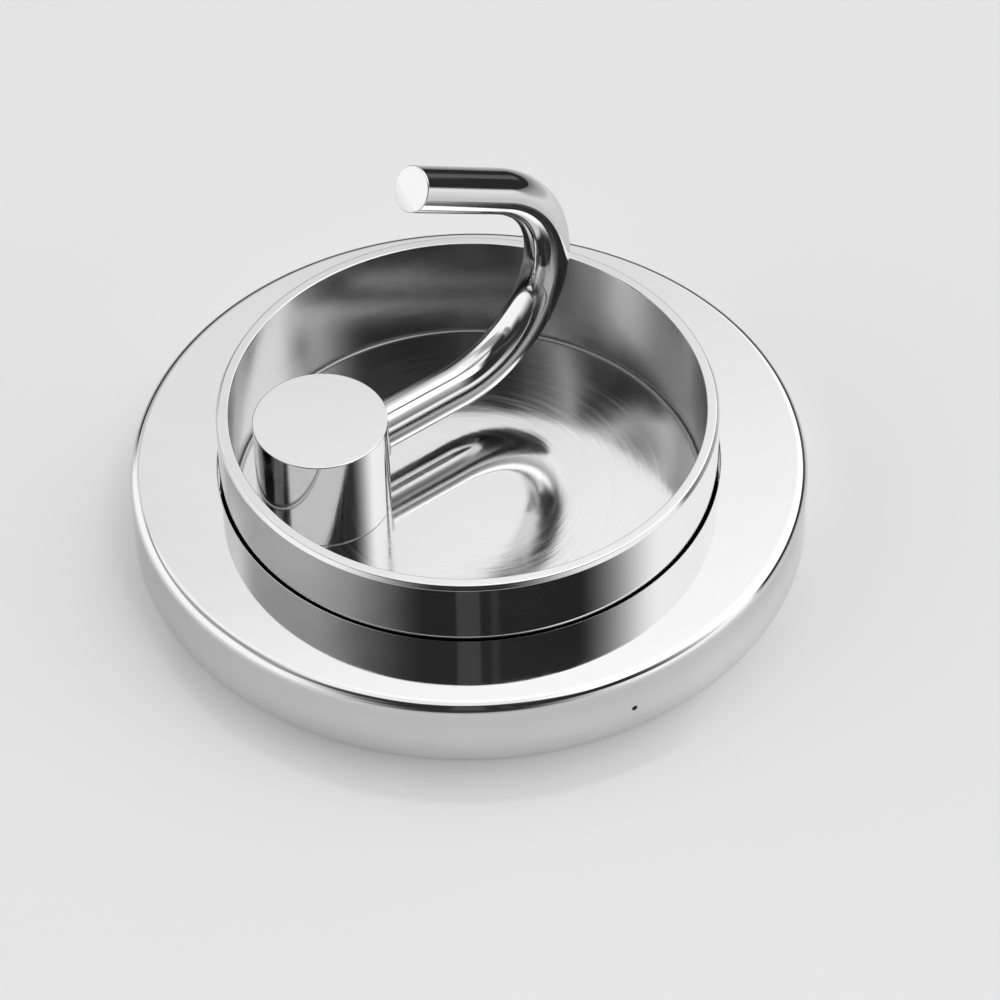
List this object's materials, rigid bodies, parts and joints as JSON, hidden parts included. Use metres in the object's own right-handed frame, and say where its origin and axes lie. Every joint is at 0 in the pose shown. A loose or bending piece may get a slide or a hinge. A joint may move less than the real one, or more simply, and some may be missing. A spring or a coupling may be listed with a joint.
{
  "type": "folding towel hook",
  "caption": "Chrome wall hook: a bent round rod on a post in a shallow cup, which stands out of a round rosette and takes the folded hook.",
  "frame": {"origin": "centre of the back face, on the rosette's axis", "axes": "+Z away from the wall; +X from the post towards the middle of the cup; the hook's lower leg points 35 degrees from +X towards +Y, which is down when the part hangs on a wall"},
  "size_m": [0.088, 0.088, 0.0507],
  "materials": {
    "chrome_rosette": "mirror polished chrome plate",
    "chrome_cup": "polished chrome plate with faint turning rings on the floor",
    "chrome_rod": "mirror polished chrome plate",
    "zinc_steel": "zinc plated stamped steel",
    "screw_steel": "plain stainless",
    "spring_steel": "drawn wire",
    "white_acetal": "moulded, satin",
    "black_nylon": "moulded, matt",
    "black_rubber": "matt"
  },
  "bodies": {
    "wall_mount": {"flange_cover": "chrome_rosette", "hook_cup": "chrome_cup", "pivot_post": "chrome_rosette", "pivot_bush": "white_acetal", "stop_screw": "screw_steel", "friction_pad": "black_nylon", "pad_spring": "spring_steel", "spring_plug": "screw_steel", "post_screw_1": "screw_steel", "post_screw_2": "screw_steel", "cup_clamp_screw_1": "screw_steel", "cup_clamp_screw_2": "screw_steel", "cup_clamp_screw_3": "screw_steel", "wall_bracket": "zinc_steel", "flange_grub_screw": "screw_steel"},
    "hook": {"hook_arm": "chrome_rod", "pivot_seal_ring": "black_rubber"}
  },
  "joints": [
    {"name": "hook_fold", "type": "hinge", "parent": "wall_mount", "child": "hook", "pos_m": [-0.019, 0, 0.0101], "axis": [0.8192, 0.5736, 0], "range_deg": [0, 90]}
  ]
}
